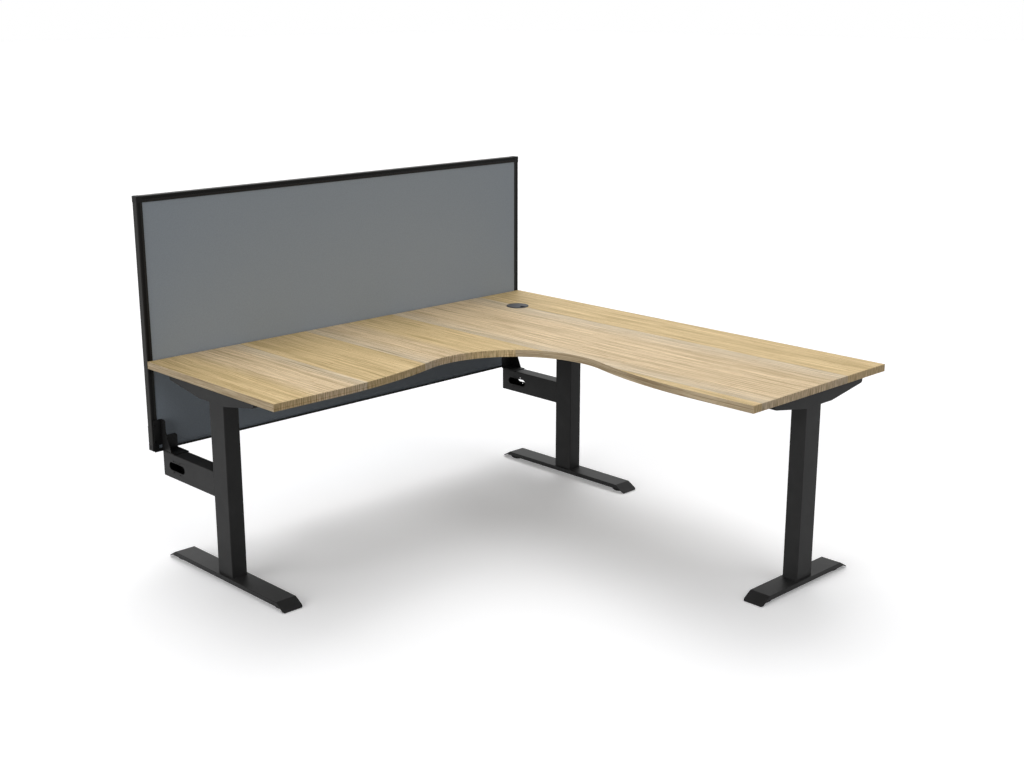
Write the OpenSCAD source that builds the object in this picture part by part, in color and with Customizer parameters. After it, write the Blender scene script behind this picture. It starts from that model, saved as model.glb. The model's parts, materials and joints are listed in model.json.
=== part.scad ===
// Corner workstation: a scalloped L-shaped top on three T-legs, with a fabric screen behind one wing.
// Built in desk coordinates: x runs along the screen wing from its free end to the outer corner,
// y is zero at the back edge and negative towards the user, z is up from the floor.
// Every sub-part is then moved so that the origin is the bottom centre of the whole part.

/* [Desk top] */
// Length of the screen wing, along the back edge
desk_w = 1800; // [1500:10:2100]
// Length of the return wing, from the back edge to its free end
return_w = 1800; // [1500:10:2100]
// Depth of both wings at their free ends
wing_depth = 750; // [730:5:800]
// Least depth of each wing, beside the scoop
waist_depth = 670; // [640:5:700]
// Radius of the scoop in the inner corner
scoop_r = 335; // [300:5:360]
// Straight run of the inner edge at the free end of each wing
shoulder_run = 250; // [150:5:300]
// Height of the working surface above the floor
desk_h = 725; // [690:1:760]
// Thickness of the board
desk_t = 25; // [22:1:33]
// Thickness of the edge band
edge_t = 2; // [1:0.5:3]

/* [Grommet] */
// Diameter of the cable hole in the board
grommet_hole_d = 80; // [60:1:90]
// Distance of the cable hole from both outer edges
grommet_inset = 235; // [180:5:300]
// How far the sleeve's rim overlaps the board
rim_overlap = 5; // [3:0.5:8]
// Thickness of the sleeve's rim
rim_t = 2.5; // [2:0.5:4]
// Wall of the sleeve
sleeve_wall = 2; // [1.5:0.5:3]
// Length of the sleeve below the working surface
sleeve_len = 20; // [15:1:22]
// Thickness of the cap's disc
cap_t = 3; // [2:0.5:5]
// Width of the cable notch in the cap
notch_w = 28; // [15:1:35]
// Depth of the cable notch in from the cap's edge
notch_depth = 18; // [10:1:25]

/* [Legs] */
// Width of a post, across the foot
post_w = 60; // [50:1:70]
// Depth of a post, along the foot
post_d = 85; // [70:1:100]
// Wall of a post
post_wall = 2; // [1.5:0.5:4]
// Corner radius of a post
post_r = 3; // [2:0.5:6]
// Distance from the back edge of a wing to the centre of its post
post_setback = 365; // [340:5:380]
// Distance from the end of the top to the outer face of a post
leg_inset = 36; // [25:1:60]
// Thickness of the plates welded in both ends of a post
end_plate_t = 6; // [4:1:10]

/* [Feet] */
// Width of a foot
foot_w = 80; // [72:1:100]
// Height of a foot's top face above the floor
foot_h = 30; // [28:1:40]
// Flat length of the left and corner feet
long_foot = 616; // [500:2:680]
// Flat length of the return foot
short_foot = 416; // [380:2:600]
// Sheet thickness of the feet
foot_t = 3; // [2:0.5:4]
// Height of the folded sides of a foot
foot_side_h = 16; // [10:1:20]
// Outer radius of a foot's long folds
fold_r = 1.5; // [1:0.5:3]
// Run of the sloping tab at each end of a foot
tab_run = 43; // [25:1:60]
// Height of a tab's tip above the floor
tab_tip_h = 4.5; // [3:0.5:8]
// Radius of the tab's lower corners, seen from above
tab_r = 10; // [4:1:20]
// Thickness of the plate that spreads the post bolts under a foot
foot_plate_t = 5; // [3:1:6]

/* [Glides] */
// Diameter of a glide's pad
pad_d = 60; // [30:1:64]
// Height of a glide's pad
pad_h = 8; // [6:1:9]
// Diameter of a glide's stem
stem_d = 8; // [6:1:10]
// Width across the flats of a stem's hexagon
stem_hex = 13; // [11:1:17]
// Height of a stem's hexagon
stem_hex_h = 5; // [4:1:8]
// Distance of a glide from the end of the foot's flat
glide_inset = 12; // [10:1:60]

/* [Support arms] */
// Reach of an arm from the post's centre towards the user
arm_front = 219; // [180:1:260]
// Reach of an arm from the post's centre towards the back edge
arm_back = 286; // [240:1:300]
// Height of an arm at its ends
arm_end_h = 31; // [26:1:45]
// Height of an arm over the post
arm_mid_h = 60; // [50:1:90]
// Level run of the arm's underside behind the post
arm_level_back = 64; // [20:1:120]
// Level run of the arm's underside in front of the post
arm_level_front = 5; // [2:1:60]
// Sheet thickness of the arms
arm_t = 2.5; // [2:0.5:4]
// Width of the lips that take the desk screws
lip_w = 15; // [12:1:20]
// Radius of the lower corners at the arm's ends
arm_r = 9; // [3:1:15]

/* [Desk rails] */
// Width of a rail under the top
rail_w = 50; // [30:1:60]
// Height of a rail under the top
rail_h = 25; // [20:1:26]
// Wall of the rails
rail_wall = 1.5; // [1:0.5:3]
// Distance of the rear rail behind the post's centre
rear_rail_offset = 55; // [40:5:150]
// Distance of the front rail in front of the post's centre
front_rail_offset = 150; // [60:5:160]
// Distance of each return rail from the return post's centre
return_rail_offset = 150; // [60:5:160]
// Width of a rail's end plate
rail_plate_w = 94; // [92:1:120]
// Thickness of a rail's end plate
rail_plate_t = 4; // [3:1:6]

/* [Cable beams] */
// Width of a cable beam
beam_w = 58; // [50:1:60]
// Height of a cable beam
beam_h = 90; // [70:1:100]
// Wall of a cable beam
beam_wall = 2; // [1.5:0.5:3]
// Height of a cable beam's top face above the floor
beam_top = 394; // [340:1:420]
// Distance of a cable beam's end from the back edge of the top
beam_end_gap = 2; // [1:0.5:10]
// Thickness of the cap on a beam's end
beam_cap_t = 2; // [1.5:0.5:4]
// Length of the cable slots
slot_len = 100; // [60:1:120]
// Height of the cable slots
slot_h = 29; // [20:1:34]
// Distance of the cable slots' centre from the back edge
slot_setback = 88; // [80:1:100]
// Distance between the outlet plate holes, both ways
outlet_pitch = 42; // [38:1:60]
// Diameter of the outlet plate holes
outlet_hole_d = 4.5; // [3:0.5:5]
// Length of the cleat that carries a beam
cleat_len = 170; // [100:5:175]
// Thickness of the cleat
cleat_t = 3; // [2:0.5:4]

/* [Screen] */
// Distance of the screen's ends from the ends of the top
screen_inset = 0; // [0:1:20]
// Height of the screen
screen_h = 900; // [600:10:1200]
// Height of the screen's lower edge above the floor
screen_low = 397; // [397:1:500]
// Gap between the back edge of the top and the screen
screen_gap = 1; // [1:0.5:4]
// Depth of the screen's frame
frame_d = 28; // [24:1:40]
// Width of the screen's frame at the sides and the top
frame_w = 22; // [20:1:30]
// Height of the slim rail under the screen
low_rail_h = 8; // [7:0.5:12]
// Width of the shallow groove along the frame's outside
groove_w = 10; // [6:0.5:12]
// Depth of the shallow groove
groove_depth = 1.5; // [0.5:0.5:2]
// Corner radius of the frame
frame_r = 3.5; // [1:0.5:5]
// Wall of the frame's lips that hold the panel
frame_lip = 2; // [1.5:0.5:3]
// How far the panel reaches into the frame
panel_bite = 8; // [6:0.5:9]
// Thickness of the screen's fabric
fabric_t = 1; // [0.5:0.5:2]

/* [Screen brackets] */
// Sheet thickness of the brackets and rear plates
bracket_t = 3; // [2:0.5:4]
// Distance of the bracket's wing from the end of the screen
wing_inset = 5; // [2:0.5:10]
// Height of the bracket above the beam
bracket_h = 117; // [90:1:140]
// Height of the bracket's low back plate above the beam
back_plate_h = 54; // [40:1:80]
// Reach of the bracket's base along the beam
base_reach = 74; // [60:1:90]
// Reach of the web at its foot
web_foot = 57; // [40:1:70]
// Reach of the web at its top
web_top = 25; // [12:1:30]
// Height of the web's slope above the beam
web_slope_h = 75; // [50:1:85]
// Size of the square window in the wing
window = 14; // [8:1:15]
// Height of a rear plate
rear_plate_h = 76; // [60:1:110]
// Width of a rear plate
rear_plate_w = 48; // [30:1:60]
// Height of a rear plate's lower edge above the screen's lower edge
rear_plate_up = 12; // [4:1:30]

/* [Fasteners] */
// Diameter of the post bolts
post_bolt_d = 8; // [6:1:8]
// Length of the post bolts under the head
post_bolt_len = 16; // [14:1:20]
// Diameter of the frame bolts in the rails and cleats
frame_bolt_d = 6; // [5:1:8]
// Length of the frame bolts under the head
frame_bolt_len = 12; // [10:1:14]
// Diameter of the bracket screws
bracket_screw_d = 5; // [4:0.5:6]
// Length of the bracket screws under the head
bracket_screw_len = 8; // [6:1:10]
// Diameter of the desk screws
desk_screw_d = 4.5; // [3.5:0.5:5]
// Length of the desk screws under the head
desk_screw_len = 20; // [14:1:22]

/* [Hidden] */

$fn = 48;
// Overrun of every cut past the face that it opens
over = 1;
// Radial clearance of a thread or a pin in its hole
thread_fit = 0.05;
// Radial clearance of a bolt in a plain hole
bolt_clear = 0.4;
// Clearance of a plug or cap inside a tube
plug_fit = 0.3;
screen_w = desk_w - 2 * screen_inset;
// Steps of the drawn arcs, in degrees
scoop_step = 3;
shoulder_step = 1;
corner_step = 15;
// Height of a bolt or screw head, as a share of the thread's diameter
head_h_share = 0.6;
// Diameter of a bolt or screw head, as a share of the thread's diameter
head_d_share = 1.7;
// Width of the hexagon socket in a head, as a share of the thread's diameter
socket_share = 0.6;
// Depth of that socket, as a share of the head's height
socket_depth_share = 0.6;

desk_under = desk_h - desk_t;
arm_under = desk_under - arm_mid_h;
screen_front = screen_gap;
screen_back = screen_front + frame_d;
head_5_h = bracket_screw_d * head_h_share;
rearmost = screen_back + bracket_t + head_5_h;

// Post centres in desk coordinates
left_x = leg_inset + post_w / 2;
corner_x = desk_w - leg_inset - post_w / 2;
leg_y = -post_setback;
return_x = desk_w - post_setback;
return_y = -return_w + leg_inset + post_w / 2;

module part_frame() {
    translate([-desk_w / 2, (return_w - rearmost) / 2, 0])
        children();
}
module at_left_leg() translate([left_x, leg_y, 0]) children();
module at_corner_leg() translate([corner_x, leg_y, 0]) children();
module at_return_leg() translate([return_x, return_y, 0]) rotate([0, 0, -90]) children();
module at_every_leg() {
    at_left_leg() children();
    at_corner_leg() children();
    at_return_leg() children();
}

// Points of an arc about a centre, from one angle to another in steps of at most step degrees
function arc(centre, r, from, to, step) =
    let (n = max(1, ceil(abs(to - from) / step)))
    [for (i = [0 : n]) centre + r * [cos(from + (to - from) * i / n), sin(from + (to - from) * i / n)]];

// A rectangle about the origin with round corners
function round_rect(w, d, r) = concat(
    arc([w / 2 - r, d / 2 - r], r, 0, 90, corner_step),
    arc([-w / 2 + r, d / 2 - r], r, 90, 180, corner_step),
    arc([-w / 2 + r, -d / 2 + r], r, 180, 270, corner_step),
    arc([w / 2 - r, -d / 2 + r], r, 270, 360, corner_step));

// The desk top's inner edge, from the outer corner: along a wing, then the depth of the wing.
// The scoop is a circle about a point on the diagonal, and the shoulder is the circle that touches
// both the scoop and the straight edge at the wing's end.
scoop_c = waist_depth + scoop_r;
function shoulder_r(len) =
    let (run = len - shoulder_run - scoop_c, rise = scoop_c - wing_depth)
    (run * run + rise * rise - scoop_r * scoop_r) / (2 * (scoop_r - rise));
function turn(len) =
    atan((len - shoulder_run - scoop_c) / (scoop_c - wing_depth + shoulder_r(len)));
function inner_edge(len, inset) = concat(
    [[len - inset, wing_depth - inset]],
    arc([len - shoulder_run, wing_depth - shoulder_r(len)], shoulder_r(len) - inset,
        90, 90 + turn(len), shoulder_step),
    arc([scoop_c, scoop_c], scoop_r + inset, turn(len) - 90, -135, scoop_step));
function flip(points) = [for (i = [len(points) - 1 : -1 : 0]) [points[i][1], points[i][0]]];
function top_outline(inset) = [
    for (p = concat(
        [[inset, inset], [desk_w - inset, inset]],
        inner_edge(desk_w, inset),
        flip(inner_edge(return_w, inset)),
        [[inset, return_w - inset]]))
    [desk_w - p[0], -p[1]]];

// Bolts: the head sits on the plane z = 0 and the shank points down
module bolt(d, length) {
    head_d = d * head_d_share;
    head_h = d * head_h_share;
    difference() {
        cylinder(h = head_h, d = head_d);
        translate([0, 0, head_h * (1 - socket_depth_share)])
            cylinder(h = head_h, d = d * socket_share / cos(30), $fn = 6);
    }
    translate([0, 0, -length]) cylinder(h = length, d = d);
}

// Places of the four bolts at each end of a post
post_head_r = post_bolt_d * head_d_share / 2;
post_bolt_x = post_w / 2 - 2 * post_wall - post_head_r;
post_bolt_y = post_d / 2 - 2 * post_wall - post_head_r;
module at_post_bolts() {
    for (x = [-post_bolt_x, post_bolt_x], y = [-post_bolt_y, post_bolt_y])
        translate([x, y, 0]) children();
}

// Places of the desk screws along an arm, from the post's centre
screw_end_gap = 40;
screw_x = post_w / 2 - arm_t - lip_w / 2;
screw_places = [-arm_front + screw_end_gap, arm_back - screw_end_gap];
module at_desk_screws() {
    for (x = [-screw_x, screw_x], y = screw_places)
        translate([x, y, 0]) children();
}

module top_board() {
    difference() {
        translate([0, 0, desk_under]) linear_extrude(desk_t) polygon(top_outline(edge_t));
        at_grommet() translate([0, 0, -desk_t - over])
            cylinder(h = desk_t + 2 * over, d = grommet_hole_d);
        at_every_leg() at_desk_screws() translate([0, 0, desk_under - over])
            cylinder(h = over + desk_screw_len - arm_t + over, r = desk_screw_d / 2 + thread_fit);
    }
}

module desk_top() {
    color("#d8bf95") part_frame() top_board();
}

module edge_band() {
    color("#a8977a") part_frame() translate([0, 0, desk_under]) linear_extrude(desk_t)
        difference() {
            polygon(top_outline(0));
            polygon(top_outline(edge_t));
        }
}

// The cable hole's centre, on the working surface
module at_grommet() {
    translate([desk_w - grommet_inset, -grommet_inset, desk_h]) children();
}
sleeve_r = grommet_hole_d / 2 - plug_fit;
sleeve_bore_r = sleeve_r - sleeve_wall;
seat_ledge = 2;
cap_r = sleeve_bore_r - plug_fit;

module grommet_sleeve() {
    color("#2a2a2b") part_frame() at_grommet() difference() {
        union() {
            cylinder(h = rim_t, r = grommet_hole_d / 2 + rim_overlap);
            translate([0, 0, -sleeve_len]) cylinder(h = sleeve_len, r = sleeve_r);
        }
        translate([0, 0, rim_t - cap_t]) cylinder(h = cap_t + over, r = sleeve_bore_r);
        translate([0, 0, -sleeve_len - over])
            cylinder(h = sleeve_len + rim_t + over, r = sleeve_bore_r - seat_ledge);
    }
}

// The cap turns in the sleeve, and a short spigot under its disc keeps it centred
spigot_h = 6;
spigot_wall = 2;
module grommet_cap() {
    spigot_r = sleeve_bore_r - seat_ledge - plug_fit;
    color("#5b5e60") part_frame() at_grommet() translate([0, 0, rim_t - cap_t]) difference() {
        union() {
            cylinder(h = cap_t, r = cap_r);
            translate([0, 0, -spigot_h]) cylinder(h = spigot_h, r = spigot_r);
        }
        translate([0, 0, -spigot_h - over]) cylinder(h = spigot_h + over, r = spigot_r - spigot_wall);
        translate([0, -cap_r - over, -spigot_h - over])
            linear_extrude(spigot_h + cap_t + 2 * over) notch_shape();
    }
}

// The notch is a slot with a round inner end, open at the cap's edge
module notch_shape() {
    notch_round = notch_w / 2;
    translate([-notch_w / 2, 0]) square([notch_w, max(over, notch_depth + over - notch_round)]);
    translate([0, notch_depth + over - notch_round]) circle(r = notch_round);
}

// A post: a box tube with a tapped plate welded in each end
post_bottom = foot_h;
post_h = arm_under - foot_h;
module post() {
    color("#2f2f2f") difference() {
        translate([0, 0, post_bottom]) union() {
            linear_extrude(post_h) difference() {
                polygon(round_rect(post_w, post_d, post_r));
                polygon(round_rect(post_w - 2 * post_wall, post_d - 2 * post_wall, post_r - post_wall / 2));
            }
            for (z = [0, post_h - end_plate_t])
                translate([0, 0, z]) linear_extrude(end_plate_t)
                    polygon(round_rect(post_w - post_wall, post_d - post_wall, post_r - post_wall / 2));
        }
        at_post_bolts() translate([0, 0, post_bottom - over])
            cylinder(h = post_h + 2 * over, r = post_bolt_d / 2 + thread_fit);
        children();
    }
}

// The posts beside a cable beam are tapped for the cleat's bolts
module left_post() {
    part_frame() at_left_leg() post() cleat_bolt_holes();
}
module corner_post() {
    part_frame() at_corner_leg() post() cleat_bolt_holes();
}
module return_post() {
    part_frame() at_return_leg() post();
}

// A foot: a folded channel whose top bends down into a sloping tab at each end.
// Its outline is the crossing of three views: from the side, along it and from above.
module foot(flat) {
    slope = atan((foot_h - tab_tip_h) / tab_run);
    low = foot_h - foot_side_h;
    web_low = foot_h - foot_t;
    bend = flat / 2 - foot_t * tan(slope / 2);
    end = flat / 2 + tab_run;
    side_end = bend + (web_low - low) / tan(slope);
    cut_end = bend + (web_low - low + over) / tan(slope);
    half = [[end - foot_t * sin(slope), tab_tip_h - foot_t * cos(slope)], [side_end, low]];
    color("#333333") difference() {
        intersection() {
            rotate([90, 0, 90]) linear_extrude(foot_w, center = true) polygon(concat(
                [[-flat / 2, foot_h], [flat / 2, foot_h], [end, tab_tip_h]],
                half, [[-half[1][0], half[1][1]], [-half[0][0], half[0][1]], [-end, tab_tip_h]]));
            rotate([90, 0, 0]) linear_extrude(2 * end, center = true) polygon(concat(
                [[-foot_w / 2, 0], [foot_w / 2, 0]],
                arc([foot_w / 2 - fold_r, foot_h - fold_r], fold_r, 0, 90, corner_step),
                arc([-foot_w / 2 + fold_r, foot_h - fold_r], fold_r, 90, 180, corner_step)));
            linear_extrude(foot_h) polygon(round_rect(foot_w, 2 * end, tab_r));
        }
        rotate([90, 0, 90]) linear_extrude(foot_w - 2 * foot_t, center = true) polygon([
            [bend, web_low], [cut_end, low - over], [-cut_end, low - over], [-bend, web_low]]);
        at_post_bolts() translate([0, 0, web_low - over])
            cylinder(h = foot_t + 2 * over, r = post_bolt_d / 2 + bolt_clear);
    }
}
module left_foot() {
    part_frame() at_left_leg() foot(long_foot);
}
module corner_foot() {
    part_frame() at_corner_leg() foot(long_foot);
}
module return_foot() {
    part_frame() at_return_leg() foot(short_foot);
}

// The plate under a foot that spreads the load of the post bolts
foot_plate_margin = 12;
foot_plate_run = post_d + 2 * foot_plate_margin;
module foot_plate() {
    color("#555555") difference() {
        translate([0, 0, foot_h - foot_t - foot_plate_t]) linear_extrude(foot_plate_t)
            square([foot_w - 2 * foot_t - 2 * plug_fit, foot_plate_run], center = true);
        at_post_bolts() translate([0, 0, foot_h - foot_t - foot_plate_t - over])
            cylinder(h = foot_plate_t + 2 * over, r = post_bolt_d / 2 + bolt_clear);
    }
}
module left_foot_plate() {
    part_frame() at_left_leg() foot_plate();
}
module corner_foot_plate() {
    part_frame() at_corner_leg() foot_plate();
}
module return_foot_plate() {
    part_frame() at_return_leg() foot_plate();
}

// An arm's outline seen from the side: along the arm from the post's centre, then the height.
// The inset leaves the sheet's thickness inside it.
function fillet(before, at, after, r) =
    let (
        u = (before - at) / norm(before - at),
        v = (after - at) / norm(after - at),
        half = acos(u * v) / 2,
        centre = at + (u + v) / norm(u + v) * r / sin(half),
        p = at + u * r / tan(half) - centre,
        q = at + v * r / tan(half) - centre,
        from = atan2(p[1], p[0]),
        swing = atan2(q[1], q[0]) - from,
        turned = swing > 180 ? swing - 360 : swing < -180 ? swing + 360 : swing)
    arc(centre, r, from, from + turned, corner_step);
function arm_side(inset, top) =
    let (
        front = -arm_front + inset,
        back = arm_back - inset,
        low_end = desk_under - arm_end_h + inset,
        low = arm_under + inset,
        front_top = [front, top], front_low = [front, low_end],
        front_knee = [-post_d / 2 - arm_level_front, low],
        back_knee = [post_d / 2 + arm_level_back, low],
        back_low = [back, low_end], back_top = [back, top],
        r = arm_r - inset / 2)
    concat([front_top], fillet(front_top, front_low, front_knee, r), [front_knee, back_knee],
        fillet(back_knee, back_low, back_top, r), [back_top]);

access_d = 12;
module arm() {
    color("#2c2c2c") difference() {
        union() {
            difference() {
                rotate([90, 0, 90]) linear_extrude(post_w, center = true)
                    polygon(arm_side(0, desk_under));
                rotate([90, 0, 90]) linear_extrude(post_w - 2 * arm_t, center = true)
                    polygon(arm_side(arm_t, desk_under + over));
            }
            for (side = [-1, 1])
                translate([side * screw_x, (arm_back - arm_front) / 2, desk_under - arm_t / 2])
                    cube([lip_w + arm_t, arm_front + arm_back - arm_t, arm_t], center = true);
        }
        at_post_bolts() translate([0, 0, arm_under - over])
            cylinder(h = arm_t + 2 * over, r = post_bolt_d / 2 + bolt_clear);
        at_desk_screws() translate([0, 0, arm_under]) cylinder(h = arm_mid_h - arm_t - over, d = access_d);
        at_desk_screws() translate([0, 0, desk_under - arm_t - over])
            cylinder(h = arm_t + 2 * over, r = desk_screw_d / 2 + bolt_clear);
        children();
    }
}

// Holes for the bolts of a rail's plate in a cheek of an arm; side is 1 for the cheek at plus x
rail_mid = desk_under - rail_h / 2;
rail_bolt_gap = 2;
rail_bolt_x = rail_plate_w / 2 - frame_bolt_d * head_d_share / 2 - rail_bolt_gap;
module rail_bolt_holes(side, offset) {
    for (y = [-rail_bolt_x, rail_bolt_x])
        translate([side * (post_w / 2 - arm_t - over), offset + y, rail_mid])
            rotate([0, side * 90, 0]) cylinder(h = arm_t + 2 * over, r = frame_bolt_d / 2 + thread_fit);
}
module left_arm() {
    part_frame() at_left_leg() arm() {
        rail_bolt_holes(1, rear_rail_offset);
        rail_bolt_holes(1, -front_rail_offset);
    }
}
module corner_arm() {
    part_frame() at_corner_leg() arm() {
        rail_bolt_holes(-1, rear_rail_offset);
        rail_bolt_holes(-1, -front_rail_offset);
    }
}
module return_arm() {
    part_frame() at_return_leg() arm() {
        rail_bolt_holes(-1, return_rail_offset);
        rail_bolt_holes(-1, -return_rail_offset);
    }
}

// The plate inside an arm that clamps it to the post
head_plate_t = end_plate_t;
head_plate_run = post_d + arm_level_front;
module head_plate() {
    color("#555555") difference() {
        translate([0, 0, arm_under + arm_t]) linear_extrude(head_plate_t)
            square([post_w - 2 * arm_t - 2 * plug_fit, head_plate_run], center = true);
        at_post_bolts() translate([0, 0, arm_under])
            cylinder(h = arm_t + head_plate_t + over, r = post_bolt_d / 2 + bolt_clear);
    }
}
module left_head_plate() {
    part_frame() at_left_leg() head_plate();
}
module corner_head_plate() {
    part_frame() at_corner_leg() head_plate();
}
module return_head_plate() {
    part_frame() at_return_leg() head_plate();
}

module post_bolts() {
    color("#8f9194") part_frame() at_every_leg() {
        at_post_bolts() translate([0, 0, arm_under + arm_t + head_plate_t]) bolt(post_bolt_d, post_bolt_len);
        at_post_bolts() translate([0, 0, foot_h - foot_t - foot_plate_t]) rotate([180, 0, 0])
            bolt(post_bolt_d, post_bolt_len);
    }
}

module desk_screws() {
    color("#8f9194") part_frame() at_every_leg() at_desk_screws()
        translate([0, 0, desk_under - arm_t]) rotate([180, 0, 0]) bolt(desk_screw_d, desk_screw_len);
}

// Glides: a pad that stays still, and a threaded stem with a hexagon that turns in a welded bush
glide_legs = [0, 0, 1, 1, 2, 2];
glide_sides = [-1, 1, -1, 1, -1, 1];
glide_spread = [long_foot, long_foot, short_foot];
module at_glide(i) {
    place = [0, glide_sides[i - 1] * (glide_spread[glide_legs[i - 1]] / 2 - glide_inset), 0];
    if (glide_legs[i - 1] == 0) at_left_leg() translate(place) children();
    if (glide_legs[i - 1] == 1) at_corner_leg() translate(place) children();
    if (glide_legs[i - 1] == 2) at_return_leg() translate(place) children();
}
bush_low = pad_h + stem_hex_h;
bush_top = foot_h - foot_t;
bush_wall = 4;
bush_r = stem_d / 2 + bush_wall;
// How far the pad draws in at the floor, and where its side ends, as shares of its height
pad_draw_share = 0.6;
pad_side_share = 0.7;
pad_foot_r = pad_d / 2 - pad_h * pad_draw_share;
socket_depth = pad_h / 2;
stem_low = pad_h - socket_depth;
stem_len = bush_top - stem_low - bolt_clear;
module glide_pad(i) {
    color("#1b1b1b") part_frame() at_glide(i) difference() {
        rotate_extrude() polygon([
            [0, 0], [pad_foot_r, 0], [pad_d / 2, pad_h / 2], [pad_d / 2, pad_h * pad_side_share],
            [stem_hex, pad_h], [0, pad_h]]);
        translate([0, 0, stem_low]) cylinder(h = socket_depth + over, r = stem_d / 2 + thread_fit);
    }
}
module glide_stem(i) {
    color("#8f9194") part_frame() at_glide(i) {
        translate([0, 0, stem_low]) cylinder(h = stem_len, d = stem_d);
        translate([0, 0, pad_h]) cylinder(h = stem_hex_h, d = stem_hex / cos(30), $fn = 6);
    }
}
module glide_bushes() {
    color("#8f9194") part_frame() for (i = [1 : 6])
        at_glide(i) translate([0, 0, bush_low]) difference() {
            cylinder(h = bush_top - bush_low, r = bush_r);
            translate([0, 0, -over])
                cylinder(h = bush_top - bush_low + 2 * over, r = stem_d / 2 + thread_fit);
        }
}

// A rail under the top: a box tube along y from zero, with a bolted plate at each end
module rail(length) {
    color("#2c2c2c") {
        translate([0, rail_plate_t, rail_mid]) rotate([-90, 0, 0]) linear_extrude(length - 2 * rail_plate_t)
            difference() {
                square([rail_w, rail_h], center = true);
                square([rail_w - 2 * rail_wall, rail_h - 2 * rail_wall], center = true);
            }
        for (y = [0, length - rail_plate_t])
            difference() {
                translate([-rail_plate_w / 2, y, desk_under - rail_h])
                    cube([rail_plate_w, rail_plate_t, rail_h]);
                for (x = [-rail_bolt_x, rail_bolt_x])
                    translate([x, y - over, rail_mid]) rotate([-90, 0, 0])
                        cylinder(h = rail_plate_t + 2 * over, r = frame_bolt_d / 2 + bolt_clear);
            }
        children();
    }
}
module rail_bolt_pairs(length) {
    for (x = [-rail_bolt_x, rail_bolt_x]) {
        translate([x, rail_plate_t, rail_mid]) rotate([-90, 0, 0]) bolt(frame_bolt_d, frame_bolt_len);
        translate([x, length - rail_plate_t, rail_mid]) rotate([90, 0, 0]) bolt(frame_bolt_d, frame_bolt_len);
    }
}
// The long rails run from the left arm to the corner arm, the return rails from the front rail
// to the return arm
long_rail = corner_x - left_x - post_w;
front_rail_y = leg_y - front_rail_offset;
return_rail = front_rail_y - rail_w / 2 - return_y - post_w / 2;
module at_long_rail(offset) {
    translate([left_x + post_w / 2, leg_y + offset, 0]) rotate([0, 0, -90]) children();
}
module at_return_rail(offset) {
    translate([return_x + offset, front_rail_y - rail_w / 2, 0]) rotate([0, 0, 180]) children();
}
module rear_rail() {
    part_frame() at_long_rail(rear_rail_offset) rail(long_rail);
}
module front_rail() {
    part_frame() difference() {
        at_long_rail(-front_rail_offset) rail(long_rail);
        for (side = [-return_rail_offset, return_rail_offset], x = [-rail_bolt_x, rail_bolt_x])
            at_return_rail(side) translate([x, -rail_wall - over, rail_mid]) rotate([-90, 0, 0])
                cylinder(h = rail_wall + 2 * over, r = frame_bolt_d / 2 + thread_fit);
    }
}
module inner_return_rail() {
    part_frame() at_return_rail(-return_rail_offset) rail(return_rail);
}
module outer_return_rail() {
    part_frame() at_return_rail(return_rail_offset) rail(return_rail);
}

// Cable beams, in the leg's own frame: y from the post's back face to the end near the screen
beam_start = post_d / 2;
beam_stop = post_setback - beam_end_gap;
beam_low = beam_top - beam_h;
beam_mid = beam_top - beam_h / 2;
beam_r = post_r;
slot_y = post_setback - slot_setback;
tie_inset = 14;
tie_y = beam_start + cleat_len - tie_inset;
// The base's screws come up from inside the beam, this share of the base's reach from its end
base_screw_share = 0.6;
module at_base_screws() {
    for (x = [-beam_w / 4, beam_w / 4])
        translate([x, beam_stop - base_reach * base_screw_share, 0]) children();
}
module beam() {
    tube_stop = beam_stop - beam_cap_t;
    color("#2f2f2f") difference() {
        translate([0, beam_start, beam_mid]) rotate([-90, 0, 0]) linear_extrude(tube_stop - beam_start)
            difference() {
                polygon(round_rect(beam_w, beam_h, beam_r));
                polygon(round_rect(beam_w - 2 * beam_wall, beam_h - 2 * beam_wall, beam_r - beam_wall / 2));
            }
        translate([0, slot_y, beam_mid]) rotate([90, 0, 90])
            linear_extrude(beam_w + 2 * over, center = true) {
                square([slot_len - slot_h, slot_h], center = true);
                for (side = [-1, 1]) translate([side * (slot_len - slot_h) / 2, 0]) circle(d = slot_h);
                for (y = [-outlet_pitch / 2, outlet_pitch / 2], z = [-outlet_pitch / 2, outlet_pitch / 2])
                    translate([y, z]) circle(d = outlet_hole_d);
            }
        at_base_screws() translate([0, 0, beam_top - beam_wall - over])
            cylinder(h = beam_wall + 2 * over, r = bracket_screw_d / 2 + bolt_clear);
        translate([0, tie_y, beam_low - over])
            cylinder(h = beam_wall + 2 * over, r = bracket_screw_d / 2 + bolt_clear);
    }
}
module left_beam() {
    part_frame() at_left_leg() beam();
}
module corner_beam() {
    part_frame() at_corner_leg() beam();
}

beam_plug_run = 10;
beam_plug_wall = 2;
module beam_cap() {
    inner_w = beam_w - 2 * beam_wall - 2 * plug_fit;
    inner_h = beam_h - 2 * beam_wall - 2 * plug_fit;
    color("#1b1b1b") translate([0, beam_stop, beam_mid]) rotate([90, 0, 0]) {
        linear_extrude(beam_cap_t) polygon(round_rect(beam_w, beam_h, beam_r));
        translate([0, 0, beam_cap_t]) linear_extrude(beam_plug_run) difference() {
            polygon(round_rect(inner_w, inner_h, beam_r - beam_wall / 2));
            square([inner_w - 2 * beam_plug_wall, inner_h - 2 * beam_plug_wall], center = true);
        }
    }
}
module left_beam_cap() {
    part_frame() at_left_leg() beam_cap();
}
module corner_beam_cap() {
    part_frame() at_corner_leg() beam_cap();
}

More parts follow.
